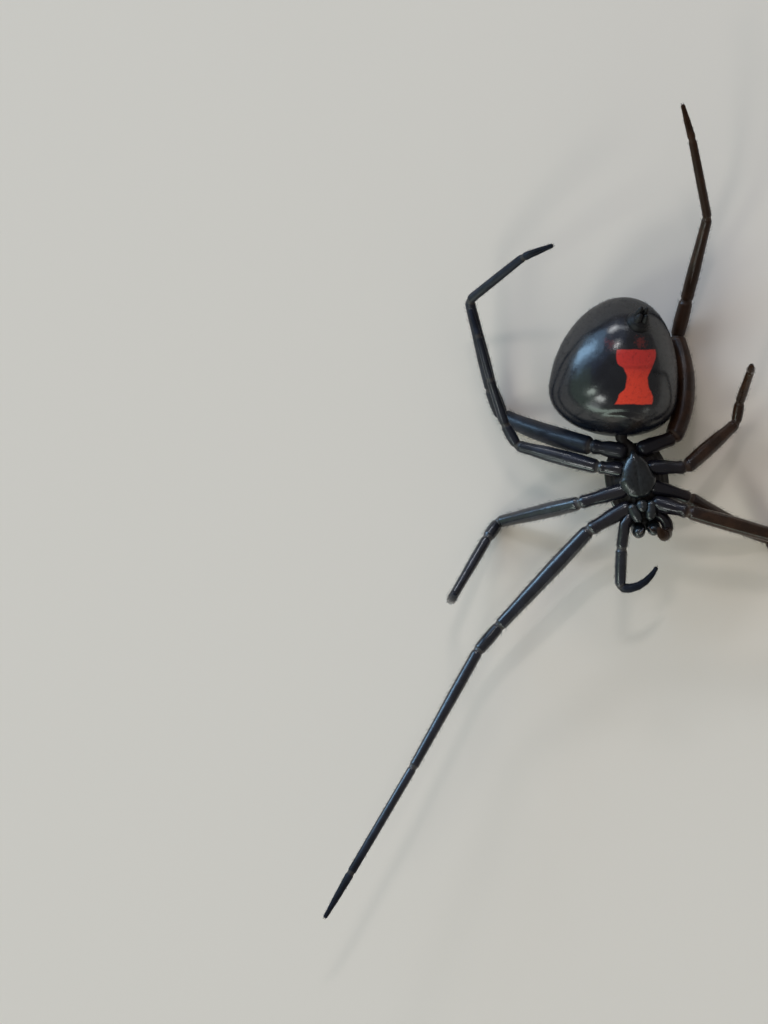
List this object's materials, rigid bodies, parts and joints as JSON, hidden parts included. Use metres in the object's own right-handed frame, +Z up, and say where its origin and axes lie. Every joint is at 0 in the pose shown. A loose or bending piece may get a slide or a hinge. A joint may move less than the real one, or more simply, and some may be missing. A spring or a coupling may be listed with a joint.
{
  "type": "black widow spider",
  "caption": "Life-size adult female black widow spider, belly up with legs spread as it hangs in its web, with a round glossy abdomen.",
  "frame": {"origin": "centre of the small flat of the abdomen's back that the spider rests on", "axes": "+Z up, out of the belly; the head points towards -Y and the spider's left legs lie on the -X side"},
  "size_m": [0.041, 0.0487, 0.0096],
  "materials": {
    "gloss_black": "polished",
    "leg_black": "satin",
    "joint_brown": "satin"
  },
  "bodies": {
    "root": {"abdomen": "gloss_black", "carapace": "gloss_black", "chelicera_l": "gloss_black", "chelicera_r": "gloss_black", "leg_l1_coxa": "leg_black", "leg_l1_femur": "leg_black", "leg_l1_metatarsus": "leg_black", "leg_l1_patella": "leg_black", "leg_l1_tarsus": "leg_black", "leg_l1_tibia": "leg_black", "leg_l2_coxa": "leg_black", "leg_l2_femur": "leg_black", "leg_l2_metatarsus": "leg_black", "leg_l2_patella": "leg_black", "leg_l2_tarsus": "leg_black", "leg_l2_tibia": "leg_black", "leg_l3_coxa": "leg_black", "leg_l3_femur": "leg_black", "leg_l3_metatarsus": "leg_black", "leg_l3_patella": "leg_black", "leg_l3_tarsus": "leg_black", "leg_l3_tibia": "leg_black", "leg_l4_coxa": "leg_black", "leg_l4_femur": "leg_black", "leg_l4_metatarsus": "leg_black", "leg_l4_patella": "leg_black", "leg_l4_tarsus": "leg_black", "leg_l4_tibia": "leg_black", "leg_r1_coxa": "leg_black", "leg_r1_femur": "leg_black", "leg_r1_metatarsus": "leg_black", "leg_r1_patella": "leg_black", "leg_r1_tarsus": "leg_black", "leg_r1_tibia": "leg_black", "leg_r2_coxa": "leg_black", "leg_r2_femur": "leg_black", "leg_r2_metatarsus": "leg_black", "leg_r2_patella": "leg_black", "leg_r2_tarsus": "leg_black", "leg_r2_tibia": "leg_black", "leg_r3_coxa": "leg_black", "leg_r3_femur": "leg_black", "leg_r3_metatarsus": "leg_black", "leg_r3_patella": "leg_black", "leg_r3_tarsus": "leg_black", "leg_r3_tibia": "leg_black", "leg_r4_coxa": "leg_black", "leg_r4_femur": "leg_black", "leg_r4_metatarsus": "leg_black", "leg_r4_patella": "leg_black", "leg_r4_tarsus": "leg_black", "leg_r4_tibia": "leg_black", "mouthparts": "gloss_black", "palp_l": "leg_black", "palp_l_tarsus": "leg_black", "palp_r": "leg_black", "palp_r_tarsus": "leg_black", "pedicel": "joint_brown", "spinnerets": "joint_brown", "sternum": "gloss_black"}
  },
  "joints": []
}
